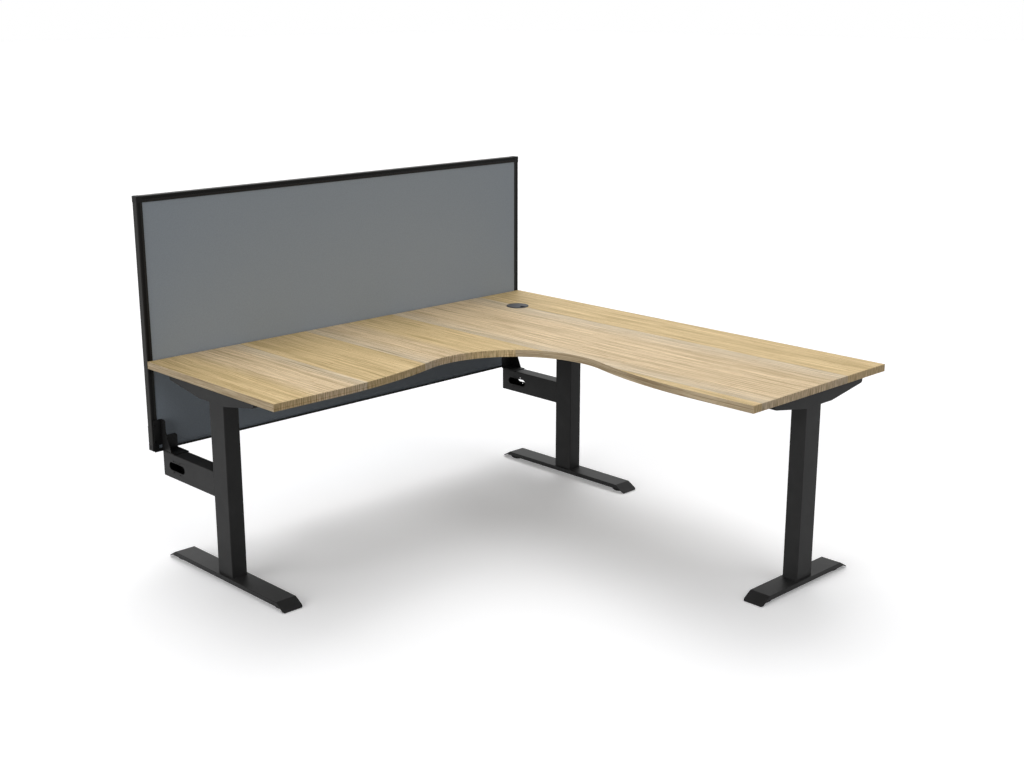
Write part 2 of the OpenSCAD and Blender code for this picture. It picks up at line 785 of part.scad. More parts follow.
// The cleat: a U-channel on the floor of the beam, with a plate bolted to the post's back face
cleat_h = 50;
cleat_w = beam_w - 2 * beam_wall - 2 * plug_fit;
cleat_low = beam_low + beam_wall;
cleat_bolt_share = 0.55;
cleat_bolt_z = cleat_low + cleat_h * cleat_bolt_share;
cleat_bolt_x = cleat_w / 4;
module cleat_bolt_holes() {
    for (x = [-cleat_bolt_x, cleat_bolt_x])
        translate([x, post_d / 2 - post_wall - over, cleat_bolt_z]) rotate([-90, 0, 0])
            cylinder(h = post_wall + 2 * over, r = frame_bolt_d / 2 + thread_fit);
}
module beam_cleat() {
    color("#555555") difference() {
        translate([0, beam_start, cleat_low]) rotate([-90, 0, 0]) linear_extrude(cleat_len)
            intersection() {
                translate([0, -cleat_h]) polygon(round_rect(cleat_w, 2 * cleat_h, beam_r));
                translate([-cleat_w / 2, -cleat_h]) square([cleat_w, cleat_h]);
            }
        translate([-cleat_w / 2 + cleat_t, beam_start + cleat_t, cleat_low + cleat_t])
            cube([cleat_w - 2 * cleat_t, cleat_len, cleat_h]);
        for (x = [-cleat_bolt_x, cleat_bolt_x])
            translate([x, beam_start - over, cleat_bolt_z]) rotate([-90, 0, 0])
                cylinder(h = cleat_t + 2 * over, r = frame_bolt_d / 2 + bolt_clear);
        translate([0, tie_y, cleat_low - over])
            cylinder(h = cleat_t + 2 * over, r = bracket_screw_d / 2 + thread_fit);
    }
}
module left_beam_cleat() {
    part_frame() at_left_leg() beam_cleat();
}
module corner_beam_cleat() {
    part_frame() at_corner_leg() beam_cleat();
}

module frame_bolts() {
    color("#8f9194") part_frame() {
        at_long_rail(rear_rail_offset) rail_bolt_pairs(long_rail);
        at_long_rail(-front_rail_offset) rail_bolt_pairs(long_rail);
        at_return_rail(-return_rail_offset) rail_bolt_pairs(return_rail);
        at_return_rail(return_rail_offset) rail_bolt_pairs(return_rail);
        for (x = [-cleat_bolt_x, cleat_bolt_x]) {
            at_left_leg() translate([x, beam_start + cleat_t, cleat_bolt_z]) rotate([-90, 0, 0])
                bolt(frame_bolt_d, frame_bolt_len);
            at_corner_leg() translate([x, beam_start + cleat_t, cleat_bolt_z]) rotate([-90, 0, 0])
                bolt(frame_bolt_d, frame_bolt_len);
        }
    }
}

// The screen stands on edge: x runs along it from its end, y is zero at the middle of its depth
// and z is up from its lower edge
module at_screen() {
    translate([screen_inset, screen_front + frame_d / 2, screen_low]) children();
}
module at_both_ends() {
    children();
    translate([screen_w, 0, 0]) mirror([1, 0, 0]) children();
}

// The frame's section, from its outer edge inwards, with the depth about zero. A shallow groove
// runs along both faces, two lips hold the panel, and a chamber takes the corner joiners.
chamber_wall = 1.6;
panel_t = frame_d - 2 * frame_lip;
panel_edge = frame_w - panel_bite;
chamber_start = 2 * chamber_wall;
chamber_w = panel_edge - chamber_wall - chamber_start;
chamber_d = frame_d - 2 * groove_depth - 2 * chamber_wall;
module frame_section() {
    difference() {
        half_round_section(frame_w);
        translate([panel_edge, -panel_t / 2]) square([frame_w, panel_t]);
        translate([chamber_start, -chamber_d / 2]) square([chamber_w, chamber_d]);
        for (side = [-1, 1])
            translate([frame_r, side * frame_d / 2 - groove_depth]) square([groove_w, 2 * groove_depth]);
    }
}
module half_round_section(w) {
    intersection() {
        translate([w, 0]) polygon(round_rect(2 * w, frame_d, frame_r));
        translate([0, -frame_d / 2]) square([w, frame_d]);
    }
}

// The slim rail under the screen is a channel that the panel stands in
low_floor = 2;
low_bite = 3;
panel_low = low_rail_h - low_bite;
module low_rail_section() {
    difference() {
        half_round_section(low_rail_h);
        translate([low_floor, -panel_t / 2]) square([low_rail_h, panel_t]);
    }
}
stile_len = screen_h - 2 * frame_w;
rail_len = screen_w - 2 * frame_w;
module frame_bar(length) {
    color("#242424") translate([0, 0, frame_w]) linear_extrude(length) children();
}
module stile() {
    difference() {
        frame_bar(stile_len) frame_section();
        stile_screw_holes();
    }
}
module screen_left_stile() {
    part_frame() at_screen() stile();
}
module screen_right_stile() {
    part_frame() at_screen() translate([screen_w, 0, 0]) mirror([1, 0, 0]) stile();
}
module screen_bottom_rail() {
    part_frame() at_screen() mirror([0, 0, 1]) rotate([0, 90, 0]) frame_bar(rail_len) low_rail_section();
}
module screen_top_rail() {
    part_frame() at_screen() translate([0, 0, screen_h]) rotate([0, 90, 0]) frame_bar(rail_len)
        frame_section();
}

// Corner joiners: a flush block with a tongue into the stile's chamber and one into the rail.
// The tongues stay clear of the tips of the bracket screws.
screw_reach = bracket_screw_len - bracket_t;
tongue_run = 30;
joiner_r = 3;
tongue_w = chamber_w - 2 * plug_fit;
tongue_d = frame_d - 2 * screw_reach - 2 * plug_fit;
tongue_mid = chamber_start + chamber_w / 2;
module joiner_block() {
    rotate([90, 0, 0]) linear_extrude(frame_d, center = true) intersection() {
        square(frame_w);
        translate([frame_w, frame_w]) polygon(round_rect(2 * frame_w, 2 * frame_w, joiner_r));
    }
    translate([tongue_mid, 0, frame_w + tongue_run / 2])
        cube([tongue_w, tongue_d, tongue_run], center = true);
}
module top_joiner() {
    joiner_block();
    translate([frame_w + tongue_run / 2, 0, tongue_mid])
        cube([tongue_run, tongue_d, tongue_w], center = true);
}
module bottom_joiner() {
    joiner_block();
    translate([frame_w, -tongue_d / 2, low_floor + plug_fit])
        cube([tongue_run, tongue_d, panel_low - low_floor - plug_fit]);
}
module corner_joiners() {
    color("#242424") part_frame() at_screen() at_both_ends() {
        bottom_joiner();
        translate([0, 0, screen_h]) mirror([0, 0, 1]) top_joiner();
    }
}

// The panel between the lips: a stiff core with fabric on both faces
panel_inset = panel_edge + plug_fit;
module panel_sheet(t) {
    corner_cut = 2 * (frame_w + plug_fit);
    difference() {
        translate([panel_inset, -t / 2, panel_low + plug_fit])
            cube([screen_w - 2 * panel_inset, t, screen_h - panel_low - plug_fit - panel_inset]);
        at_both_ends() for (z = [0, screen_h])
            translate([0, 0, z]) cube([corner_cut, frame_d, corner_cut], center = true);
    }
}
module screen_core() {
    color("#b9b2a4") part_frame() at_screen() panel_sheet(panel_t - 2 * fabric_t);
}
module fabric_face(side) {
    color("#71767a") part_frame() at_screen() translate([0, side * (panel_t - fabric_t) / 2, 0])
        panel_sheet(fabric_t);
}
module front_fabric() {
    fabric_face(-1);
}
module back_fabric() {
    fabric_face(1);
}

// Screen brackets, in desk coordinates for the left end: a base on the beam, a web flush with the
// beam's outer face, a low plate behind the base and a tall wing on the screen's stile
bracket_back = screen_front;
bracket_front = bracket_back - bracket_t;
web_x = left_x - beam_w / 2;
base_proud = 2;
bracket_right = left_x + beam_w / 2 + base_proud;
bracket_r = 10;
wing_x = screen_inset + wing_inset;
stile_screw_x = frame_r + groove_w / 2;
stile_screw_up = 35;
stile_screw_pitch = 60;
stile_screw_zs = [stile_screw_up, stile_screw_up + stile_screw_pitch];
rear_screw_shares = [0.25, 0.75];
module stile_screw_holes() {
    screw_r = bracket_screw_d / 2 + thread_fit;
    for (z = stile_screw_zs)
        translate([stile_screw_x, -frame_d / 2 - over, z]) rotate([-90, 0, 0])
            cylinder(h = screw_reach + 2 * over, r = screw_r);
    for (share = rear_screw_shares)
        translate([stile_screw_x, frame_d / 2 + over, rear_plate_up + rear_plate_h * share])
            rotate([90, 0, 0]) cylinder(h = screw_reach + 2 * over, r = screw_r);
}
module at_stile_screws() {
    for (z = stile_screw_zs)
        translate([screen_inset + stile_screw_x, bracket_front, screen_low + z])
            rotate([90, 0, 0]) children();
}
module at_rear_screws() {
    for (share = rear_screw_shares)
        translate([
            screen_inset + stile_screw_x,
            screen_back + bracket_t,
            screen_low + rear_plate_up + rear_plate_h * share])
            rotate([-90, 0, 0]) children();
}
module bracket_hole() {
    translate([0, 0, -bracket_t - over])
        cylinder(h = bracket_t + 2 * over, r = bracket_screw_d / 2 + bolt_clear);
}
window_inset = 3;
window_up = 7;
module bracket() {
    color("#1d1d1d") difference() {
        union() {
            translate([web_x - base_proud, leg_y + beam_stop - base_reach, beam_top])
                cube([bracket_right - web_x + base_proud, base_reach, bracket_t]);
            translate([web_x, bracket_back, beam_top]) rotate([90, 0, 0]) linear_extrude(bracket_t)
                plate_shape(bracket_right - web_x, back_plate_h);
            translate([web_x + bracket_t, bracket_back, beam_top]) rotate([90, 0, -90])
                linear_extrude(bracket_t) polygon(concat(
                    [[0, 0], [web_foot, 0], [web_foot, bracket_t], [web_top, web_slope_h]],
                    fillet([web_top, web_slope_h], [web_top, bracket_h], [0, bracket_h], bracket_r),
                    [[0, bracket_h]]));
            translate([wing_x, bracket_front, beam_top])
                cube([web_x + bracket_t - wing_x, bracket_t, bracket_h]);
        }
        at_stile_screws() bracket_hole();
        translate([web_x - window_inset + bracket_t - window, bracket_front - over, screen_low + window_up])
            cube([window, bracket_t + 2 * over, window]);
        at_left_leg() at_base_screws() translate([0, 0, beam_top - over])
            cylinder(h = bracket_t + 2 * over, r = bracket_screw_d / 2 + thread_fit);
    }
}
module plate_shape(w, h) {
    polygon(concat(
        [[0, 0], [w, 0]],
        arc([w - bracket_r, h - bracket_r], bracket_r, 0, 90, corner_step),
        [[0, h]]));
}
module at_other_end() {
    translate([left_x + corner_x, 0, 0]) mirror([1, 0, 0]) children();
}
module left_screen_bracket() {
    part_frame() bracket();
}
module corner_screen_bracket() {
    part_frame() at_other_end() bracket();
}

// Rear plates behind the stiles
rear_plate_inset = 2;
module rear_plate() {
    color("#1d1d1d") difference() {
        translate([
            screen_inset + rear_plate_inset,
            screen_back + bracket_t,
            screen_low + rear_plate_up])
            rotate([90, 0, 0]) linear_extrude(bracket_t) plate_shape(rear_plate_w, rear_plate_h);
        at_rear_screws() bracket_hole();
    }
}
module left_rear_plate() {
    part_frame() rear_plate();
}
module corner_rear_plate() {
    part_frame() at_other_end() rear_plate();
}

module bracket_screw_set() {
    at_stile_screws() bolt(bracket_screw_d, bracket_screw_len);
    at_rear_screws() bolt(bracket_screw_d, bracket_screw_len);
    at_left_leg() at_base_screws() translate([0, 0, beam_top - beam_wall]) rotate([180, 0, 0])
        bolt(bracket_screw_d, beam_wall + bracket_t);
    at_left_leg() translate([0, tie_y, beam_low]) rotate([180, 0, 0])
        bolt(bracket_screw_d, bracket_screw_len);
}
module bracket_screws() {
    color("#111111") part_frame() {
        bracket_screw_set();
        at_other_end() bracket_screw_set();
    }
}

desk_top();
edge_band();
grommet_sleeve();
grommet_cap();
left_post();
corner_post();
return_post();
left_foot();
corner_foot();
return_foot();
left_foot_plate();
corner_foot_plate();
return_foot_plate();
left_arm();
corner_arm();
return_arm();
left_head_plate();
corner_head_plate();
return_head_plate();
glide_pad(1);  // glide_pad_1
glide_pad(2);  // glide_pad_2
glide_pad(3);  // glide_pad_3
glide_pad(4);  // glide_pad_4
glide_pad(5);  // glide_pad_5
glide_pad(6);  // glide_pad_6
glide_stem(1);  // glide_stem_1
glide_stem(2);  // glide_stem_2
glide_stem(3);  // glide_stem_3
glide_stem(4);  // glide_stem_4
glide_stem(5);  // glide_stem_5
glide_stem(6);  // glide_stem_6
glide_bushes();
rear_rail();
front_rail();
inner_return_rail();
outer_return_rail();
left_beam();
corner_beam();
left_beam_cap();
corner_beam_cap();
left_beam_cleat();
corner_beam_cleat();
screen_top_rail();
screen_bottom_rail();
screen_left_stile();
screen_right_stile();
corner_joiners();
screen_core();
front_fabric();
back_fabric();
left_screen_bracket();
corner_screen_bracket();
left_rear_plate();
corner_rear_plate();
post_bolts();
frame_bolts();
bracket_screws();
desk_screws();
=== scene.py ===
import json
import math

import bmesh
import bpy
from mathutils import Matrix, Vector


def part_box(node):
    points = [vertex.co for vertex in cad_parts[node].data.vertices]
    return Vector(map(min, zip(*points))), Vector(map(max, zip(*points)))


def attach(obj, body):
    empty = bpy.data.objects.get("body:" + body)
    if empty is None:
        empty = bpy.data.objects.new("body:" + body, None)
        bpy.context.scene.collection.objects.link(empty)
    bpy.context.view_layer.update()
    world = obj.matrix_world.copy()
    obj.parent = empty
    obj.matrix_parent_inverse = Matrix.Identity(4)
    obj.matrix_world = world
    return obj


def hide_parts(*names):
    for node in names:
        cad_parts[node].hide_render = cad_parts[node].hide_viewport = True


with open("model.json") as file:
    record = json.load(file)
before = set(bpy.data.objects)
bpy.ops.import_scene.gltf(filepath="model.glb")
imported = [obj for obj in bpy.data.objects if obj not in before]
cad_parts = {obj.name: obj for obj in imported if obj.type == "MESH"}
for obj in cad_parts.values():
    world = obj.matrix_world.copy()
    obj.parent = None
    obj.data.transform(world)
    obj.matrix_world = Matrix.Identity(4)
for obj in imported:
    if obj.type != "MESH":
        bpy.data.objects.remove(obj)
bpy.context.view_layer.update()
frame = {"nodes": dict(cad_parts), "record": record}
mm = 0.001
print("frame loaded:", len(frame["nodes"]), "nodes")

# the camera stands in front of the left leg and looks across the inner corner
view = {
    "place": (-3.3263, -3.4160, 1.9397),
    "azimuth": -44.2602,
    "elevation": 15.1785,
    "lens": 50,
    "sensor": 36,
}
cameraData = bpy.data.cameras.new("camera")
cameraData.lens = view["lens"]
cameraData.sensor_width = view["sensor"]
camera = bpy.data.objects.new("camera", cameraData)
camera.location = view["place"]
camera.rotation_euler = (math.radians(90 - view["elevation"]), 0, math.radians(view["azimuth"]))
bpy.context.scene.collection.objects.link(camera)
bpy.context.scene.camera = camera
print("camera set")


def hexColour(text):  # sRGB hex to linear
    parts = [int(text[i:i + 2], 16) / 255 for i in (1, 3, 5)]
    return tuple(c / 12.92 if c <= 0.04045 else ((c + 0.055) / 1.055) ** 2.4 for c in parts) + (1,)


def waveScale(periodMm):  # the scale at which a wave texture repeats after so many millimetres
    return math.pi / 10 / (periodMm * mm)


def fillRamp(ramp, stops):
    while len(ramp.elements) > 1:
        ramp.elements.remove(ramp.elements[-1])
    ramp.elements[0].position = stops[0][0]
    ramp.elements[0].color = stops[0][1]
    for position, colour in stops[1:]:
        ramp.elements.new(position).color = colour


def addNode(tree, kind, settings=None, links=None):  # a node with its settings and what feeds its sockets
    node = tree.nodes.new(kind)
    for name, value in (settings or {}).items():
        if name == "stops":
            fillRamp(node.color_ramp, value)
        elif isinstance(name, int) or name in node.inputs:
            node.inputs[name].default_value = value
        else:
            setattr(node, name, value)
    for name, source in (links or {}).items():
        tree.links.new(source, node.inputs[name])
    return node


def newMaterial(name, roughness, metallic=0.0, specular=0.5):
    material = bpy.data.materials.new(name)
    material.use_nodes = True
    tree = material.node_tree
    shader = tree.nodes["Principled BSDF"]
    shader.inputs["Roughness"].default_value = roughness
    shader.inputs["Metallic"].default_value = metallic
    shader.inputs["Specular IOR Level"].default_value = specular
    return material, tree, shader


# powder coat: baked polyester powder on steel, a dull black with a fine pebbled skin
powder = {"dark": "#1d1d1d", "light": "#242424", "peelMm": 1.4, "patchMm": 90, "patchFrom": (0.35, 0.65),
          "reliefMm": 0.05, "bump": 0.5, "roughness": 0.5, "roughnessSpread": 0.06, "specular": 0.17}


def blackPowderCoat():
    material, tree, shader = newMaterial("blackPowderCoatOnSteel", powder["roughness"],
                                         specular=powder["specular"])
    coords = addNode(tree, "ShaderNodeTexCoord").outputs["Object"]
    patch = addNode(tree, "ShaderNodeTexNoise", {"Scale": 1 / (powder["patchMm"] * mm), "Detail": 3},
                    {"Vector": coords})
    start, end = powder["patchFrom"]
    tone = addNode(tree, "ShaderNodeValToRGB", {"stops": [(start, hexColour(powder["dark"])),
                                                          (end, hexColour(powder["light"]))]},
                   {"Fac": patch.outputs["Fac"]})
    peel = addNode(tree, "ShaderNodeTexNoise", {"Scale": 1 / (powder["peelMm"] * mm), "Detail": 2},
                   {"Vector": coords})
    bump = addNode(tree, "ShaderNodeBump", {"Strength": powder["bump"], "Distance": powder["reliefMm"] * mm},
                   {"Height": peel.outputs["Fac"]})
    low, high = (powder["roughness"] + sign * powder["roughnessSpread"] for sign in (-1, 1))
    gloss = addNode(tree, "ShaderNodeMapRange", {"To Min": low, "To Max": high},
                    {"Value": peel.outputs["Fac"]})
    tree.links.new(tone.outputs["Color"], shader.inputs["Base Color"])
    tree.links.new(gloss.outputs["Result"], shader.inputs["Roughness"])
    tree.links.new(bump.outputs["Normal"], shader.inputs["Normal"])
    return material


# oak laminate: printed boards under a satin resin skin, with long grain along y
oak = {
    "tones": {"honey": "#ead09f", "straw": "#f2dab4", "ash": "#ecdabd"},
    # what the darkest grain takes from each tone
    "shades": {"honey": "#bdb6a0", "straw": "#b5ad9a", "ash": "#aeaaa1"},
    # the tones across the desk, in mm from the free end of the screen wing; 1 mm apart they meet at a joint
    "boards": [(0, "honey"), (130, "honey"), (190, "straw"), (300, "straw"), (375, "ash"),
               (376, "honey"), (669, "honey"), (670, "ash"), (770, "straw"), (850, "straw"),
               (900, "honey"), (1091, "honey"), (1092, "ash"), (1190, "straw"), (1440, "straw"),
               (1574, "ash"), (1575, "honey"), (1800, "honey")],
    "wingMm": 1800,
    # width and length of each kind of mark; pores are drawn twice as coarse as real ones, so that they show
    "bandMm": (26, 1400), "streakMm": (6.5, 620), "lineMm": (2.8, 300), "poreMm": (1.9, 50),
    "noiseRoughness": 0.6,
    # flat-sawn arches show only in wide patches
    "figureMm": 19, "figureBend": 5, "figureBendScale": 0.35,
    "figurePatchMm": (110, 300), "figurePatchFrom": (0.5, 0.7),
    # how far the grain strays sideways, and over what width and length
    "wanderMm": 22, "wanderOverMm": (160, 420), "rippleMm": 8, "rippleOverMm": (45, 100),
    # how much each kind of mark counts, and the sums at which the grain is palest and darkest
    "bandWeight": 0.7, "streakWeight": 1.5, "lineWeight": 1.9, "figureWeight": 0.16,
    "depthFrom": (1.68, 2.48),
    "poreShade": "#c8ad8e", "poreFrom": (0.39, 0.3), "poreBump": 0.4, "poreReliefMm": 0.06,
    "roughness": 0.55, "specular": 0.15,
}


def grainNoise(tree, vector, widthMm, lengthMm, detail):
    across = 1 / (widthMm * mm)
    along = 1 / (lengthMm * mm)
    scaled = addNode(tree, "ShaderNodeMapping", {"Scale": (across, along, 0)}, {"Vector": vector})
    return addNode(tree, "ShaderNodeTexNoise",
                   {"Scale": 1, "Detail": detail, "Roughness": oak["noiseRoughness"]},
                   {"Vector": scaled.outputs["Vector"]}).outputs["Fac"]


def boardColour(tree, coords, colours):  # one colour for each board, from the table above
    x = addNode(tree, "ShaderNodeSeparateXYZ", None, {0: coords}).outputs["X"]
    wing = oak["wingMm"] * mm
    place = addNode(tree, "ShaderNodeMapRange", {"From Min": -wing / 2, "From Max": wing / 2},
                    {"Value": x}).outputs["Result"]
    stops = [(at / oak["wingMm"], hexColour(colours[tone])) for at, tone in oak["boards"]]
    return addNode(tree, "ShaderNodeValToRGB", {"stops": stops}, {"Fac": place}).outputs["Color"]


def weighted(tree, parts):  # the sum of each value times its weight
    total = addNode(tree, "ShaderNodeMath", {"operation": "MULTIPLY", 1: parts[0][1]}, {0: parts[0][0]})
    for value, weight in parts[1:]:
        total = addNode(tree, "ShaderNodeMath", {"operation": "MULTIPLY_ADD", 1: weight},
                        {0: value, 2: total.outputs[0]})
    return total.outputs[0]


def darken(tree, depth, tone, shade):  # the tone times the shade, as far as depth says
    node = addNode(tree, "ShaderNodeMix", {"data_type": "RGBA", "blend_type": "MULTIPLY"},
                   {0: depth, 6: tone})
    if isinstance(shade, str):
        node.inputs[7].default_value = hexColour(shade)
    else:
        tree.links.new(shade, node.inputs[7])
    return node.outputs[2]


def poreDetail(tree, shader, wood, pore):  # open pores: short dark flecks that also sink a little
    start, end = oak["poreFrom"]
    fleck = addNode(tree, "ShaderNodeMapRange", {"From Min": start, "From Max": end},
                    {"Value": pore}).outputs["Result"]
    shaded = darken(tree, fleck, wood, oak["poreShade"])
    bump = addNode(tree, "ShaderNodeBump",
                   {"Strength": oak["poreBump"], "Distance": oak["poreReliefMm"] * mm, "invert": True},
                   {"Height": fleck})
    tree.links.new(shaded, shader.inputs["Base Color"])
    tree.links.new(bump.outputs["Normal"], shader.inputs["Normal"])


def oakLaminate():
    material, tree, shader = newMaterial("oakLaminateSatin", oak["roughness"], specular=oak["specular"])
    coords = addNode(tree, "ShaderNodeTexCoord").outputs["Object"]
    # the grain wanders sideways over half a metre, with small ripples on the way
    shift = weighted(tree, [(grainNoise(tree, coords, *oak["wanderOverMm"], 2), oak["wanderMm"] * mm),
                            (grainNoise(tree, coords, *oak["rippleOverMm"], 1), oak["rippleMm"] * mm)])
    sideways = addNode(tree, "ShaderNodeCombineXYZ", None, {"X": shift}).outputs["Vector"]
    wavy = addNode(tree, "ShaderNodeVectorMath", {"operation": "ADD"}, {0: coords, 1: sideways}).outputs[0]
    band = grainNoise(tree, wavy, *oak["bandMm"], 2)
    streak = grainNoise(tree, wavy, *oak["streakMm"], 3)
    line = grainNoise(tree, wavy, *oak["lineMm"], 2)
    # long arches of flat-sawn figure, strongest where the wide patches are
    arch = addNode(tree, "ShaderNodeTexWave",
                   {"bands_direction": "X", "Distortion": oak["figureBend"], "Detail": 2,
                    "Detail Scale": oak["figureBendScale"], "Scale": waveScale(oak["figureMm"])},
                   {"Vector": wavy})
    patch = grainNoise(tree, coords, *oak["figurePatchMm"], 1)
    start, end = oak["figurePatchFrom"]
    patchy = addNode(tree, "ShaderNodeMapRange", {"From Min": start, "From Max": end}, {"Value": patch})
    figure = addNode(tree, "ShaderNodeMath", {"operation": "MULTIPLY"},
                     {0: arch.outputs["Fac"], 1: patchy.outputs["Result"]}).outputs[0]
    grain = weighted(tree, [(band, oak["bandWeight"]), (streak, oak["streakWeight"]),
                            (line, oak["lineWeight"]), (figure, oak["figureWeight"])])
    palest, darkest = oak["depthFrom"]
    depth = addNode(tree, "ShaderNodeMapRange", {"From Min": palest, "From Max": darkest},
                    {"Value": grain}).outputs["Result"]
    tone, shade = (boardColour(tree, coords, oak[name]) for name in ("tones", "shades"))
    wood = darken(tree, depth, tone, shade)
    poreDetail(tree, shader, wood, grainNoise(tree, wavy, *oak["poreMm"], 2))
    return material


# the edge band is the same print on a 2 mm strip: end grain faces the user, long grain faces sideways
edge = {"endShade": "#f8f8fb", "longTone": "#cab798", "stripeShade": "#aea698",
        "endStripeMm": (4.5, 60), "longLineMm": (4, 300), "depthFrom": (0.36, 0.64), "roughness": 0.5}


def oakEdgeBand():
    material, tree, shader = newMaterial("oakEdgeBandSatin", edge["roughness"], specular=oak["specular"])
    coords = addNode(tree, "ShaderNodeTexCoord").outputs["Object"]
    parts = addNode(tree, "ShaderNodeSeparateXYZ", None, {0: coords}).outputs
    normal = addNode(tree, "ShaderNodeNewGeometry").outputs["Normal"]
    facing = addNode(tree, "ShaderNodeSeparateXYZ", None, {0: normal}).outputs
    sideX = addNode(tree, "ShaderNodeMath", {"operation": "ABSOLUTE"}, {0: facing["X"]})
    sideY = addNode(tree, "ShaderNodeMath", {"operation": "ABSOLUTE"}, {0: facing["Y"]})
    isLong = addNode(tree, "ShaderNodeMath", {"operation": "GREATER_THAN"},
                     {0: sideX.outputs[0], 1: sideY.outputs[0]}).outputs[0]
    upright = addNode(tree, "ShaderNodeCombineXYZ", None, {"X": parts["X"], "Y": parts["Z"]}).outputs[0]
    lying = addNode(tree, "ShaderNodeCombineXYZ", None, {"X": parts["Z"], "Y": parts["Y"]}).outputs[0]
    stripe = grainNoise(tree, upright, *edge["endStripeMm"], 4)
    line = grainNoise(tree, lying, *edge["longLineMm"], 3)
    grain = addNode(tree, "ShaderNodeMix", {"data_type": "FLOAT"}, {0: isLong, 2: stripe, 3: line}).outputs[0]
    palest, darkest = edge["depthFrom"]
    depth = addNode(tree, "ShaderNodeMapRange", {"From Min": palest, "From Max": darkest},
                    {"Value": grain}).outputs["Result"]
    endTone = addNode(tree, "ShaderNodeMix",
                      {"data_type": "RGBA", "blend_type": "MULTIPLY", 0: 1.0, 7: hexColour(edge["endShade"])},
                      {6: boardColour(tree, coords, oak["tones"])}).outputs[2]
    tone = addNode(tree, "ShaderNodeMix", {"data_type": "RGBA", 7: hexColour(edge["longTone"])},
                   {0: isLong, 6: endTone}).outputs[2]
    wood = darken(tree, depth, tone, edge["stripeShade"])
    poreDetail(tree, shader, wood, grainNoise(tree, lying, *oak["poreMm"], 2))
    return material


# screen cloth: plain weave of two greys, matt, seen as a fine heather
# the thread is drawn coarser than a real one, to show
cloth = {"light": "#a6b1bb", "dark": "#9ba4b0", "toneFrom": (0.3, 0.85), "threadMm": 1.4, "threadTone": 0.3,
         "heatherMm": 5, "reliefMm": 0.15, "bump": 0.5, "roughness": 0.92, "specular": 0.1, "sheen": 0.05}


def screenCloth():
    material, tree, shader = newMaterial("polyesterWeaveGrey", cloth["roughness"], specular=cloth["specular"])
    shader.inputs["Sheen Weight"].default_value = cloth["sheen"]
    coords = addNode(tree, "ShaderNodeTexCoord").outputs["Object"]
    threads = waveScale(cloth["threadMm"] * 2)
    warp, weft = (addNode(tree, "ShaderNodeTexWave", {"bands_direction": way, "Scale": threads},
                          {"Vector": coords}).outputs["Fac"] for way in ("X", "Z"))
    weave = addNode(tree, "ShaderNodeMath", {"operation": "MULTIPLY"}, {0: warp, 1: weft}).outputs[0]
    heather = addNode(tree, "ShaderNodeTexNoise", {"Scale": 1 / (cloth["heatherMm"] * mm), "Detail": 5},
                      {"Vector": coords}).outputs["Fac"]
    mixed = addNode(tree, "ShaderNodeMath", {"operation": "MULTIPLY_ADD", 1: cloth["threadTone"]},
                    {0: weave, 2: heather})
    start, end = cloth["toneFrom"]
    tone = addNode(tree, "ShaderNodeValToRGB", {"stops": [(start, hexColour(cloth["dark"])),
                                                          (end, hexColour(cloth["light"]))]},
                   {"Fac": mixed.outputs[0]})
    bump = addNode(tree, "ShaderNodeBump", {"Strength": cloth["bump"], "Distance": cloth["reliefMm"] * mm},
                   {"Height": weave})
    tree.links.new(tone.outputs["Color"], shader.inputs["Base Color"])
    tree.links.new(bump.outputs["Normal"], shader.inputs["Normal"])
    return material


# the plain coats, platings and mouldings: two close tones in a fine grain, which also stirs the gloss
grainy = {"toneFrom": (0.3, 0.7), "roughnessSpread": 0.06, "bump": 0.4}


def finePlain(name, colours, grainMm, roughness, metallic=0.0, relief=0.03, specular=0.5):
    material, tree, shader = newMaterial(name, roughness, metallic, specular)
    coords = addNode(tree, "ShaderNodeTexCoord").outputs["Object"]
    grain = addNode(tree, "ShaderNodeTexNoise", {"Scale": 1 / (grainMm * mm), "Detail": 3},
                    {"Vector": coords}).outputs["Fac"]
    start, end = grainy["toneFrom"]
    tone = addNode(tree, "ShaderNodeValToRGB",
                   {"stops": [(start, hexColour(colours[0])), (end, hexColour(colours[1]))]}, {"Fac": grain})
    spread = grainy["roughnessSpread"]
    gloss = addNode(tree, "ShaderNodeMapRange", {"To Min": roughness - spread, "To Max": roughness + spread},
                    {"Value": grain}).outputs["Result"]
    bump = addNode(tree, "ShaderNodeBump", {"Strength": grainy["bump"], "Distance": relief * mm},
                   {"Height": grain})
    tree.links.new(tone.outputs["Color"], shader.inputs["Base Color"])
    tree.links.new(gloss, shader.inputs["Roughness"])
    tree.links.new(bump.outputs["Normal"], shader.inputs["Normal"])
    return material


# anodised aluminium: satin black with a faint grain from the die
# the frame's groove is shallow, so its floor carries painted shade: a blacker tone that stands in for the
# shadow inside the groove
anodised = {"dark": "#1b1b1a", "light": "#242321", "toneFrom": (0.3, 0.7), "dieMm": 2.5,
            "groovePaintedShade": "#666666", "grooveMm": 1.5, "grooveWithinMm": 0.3, "grooveFacing": 0.9,
            "roughness": 0.4, "specular": 0.12, "reliefMm": 0.02, "bump": 0.4}


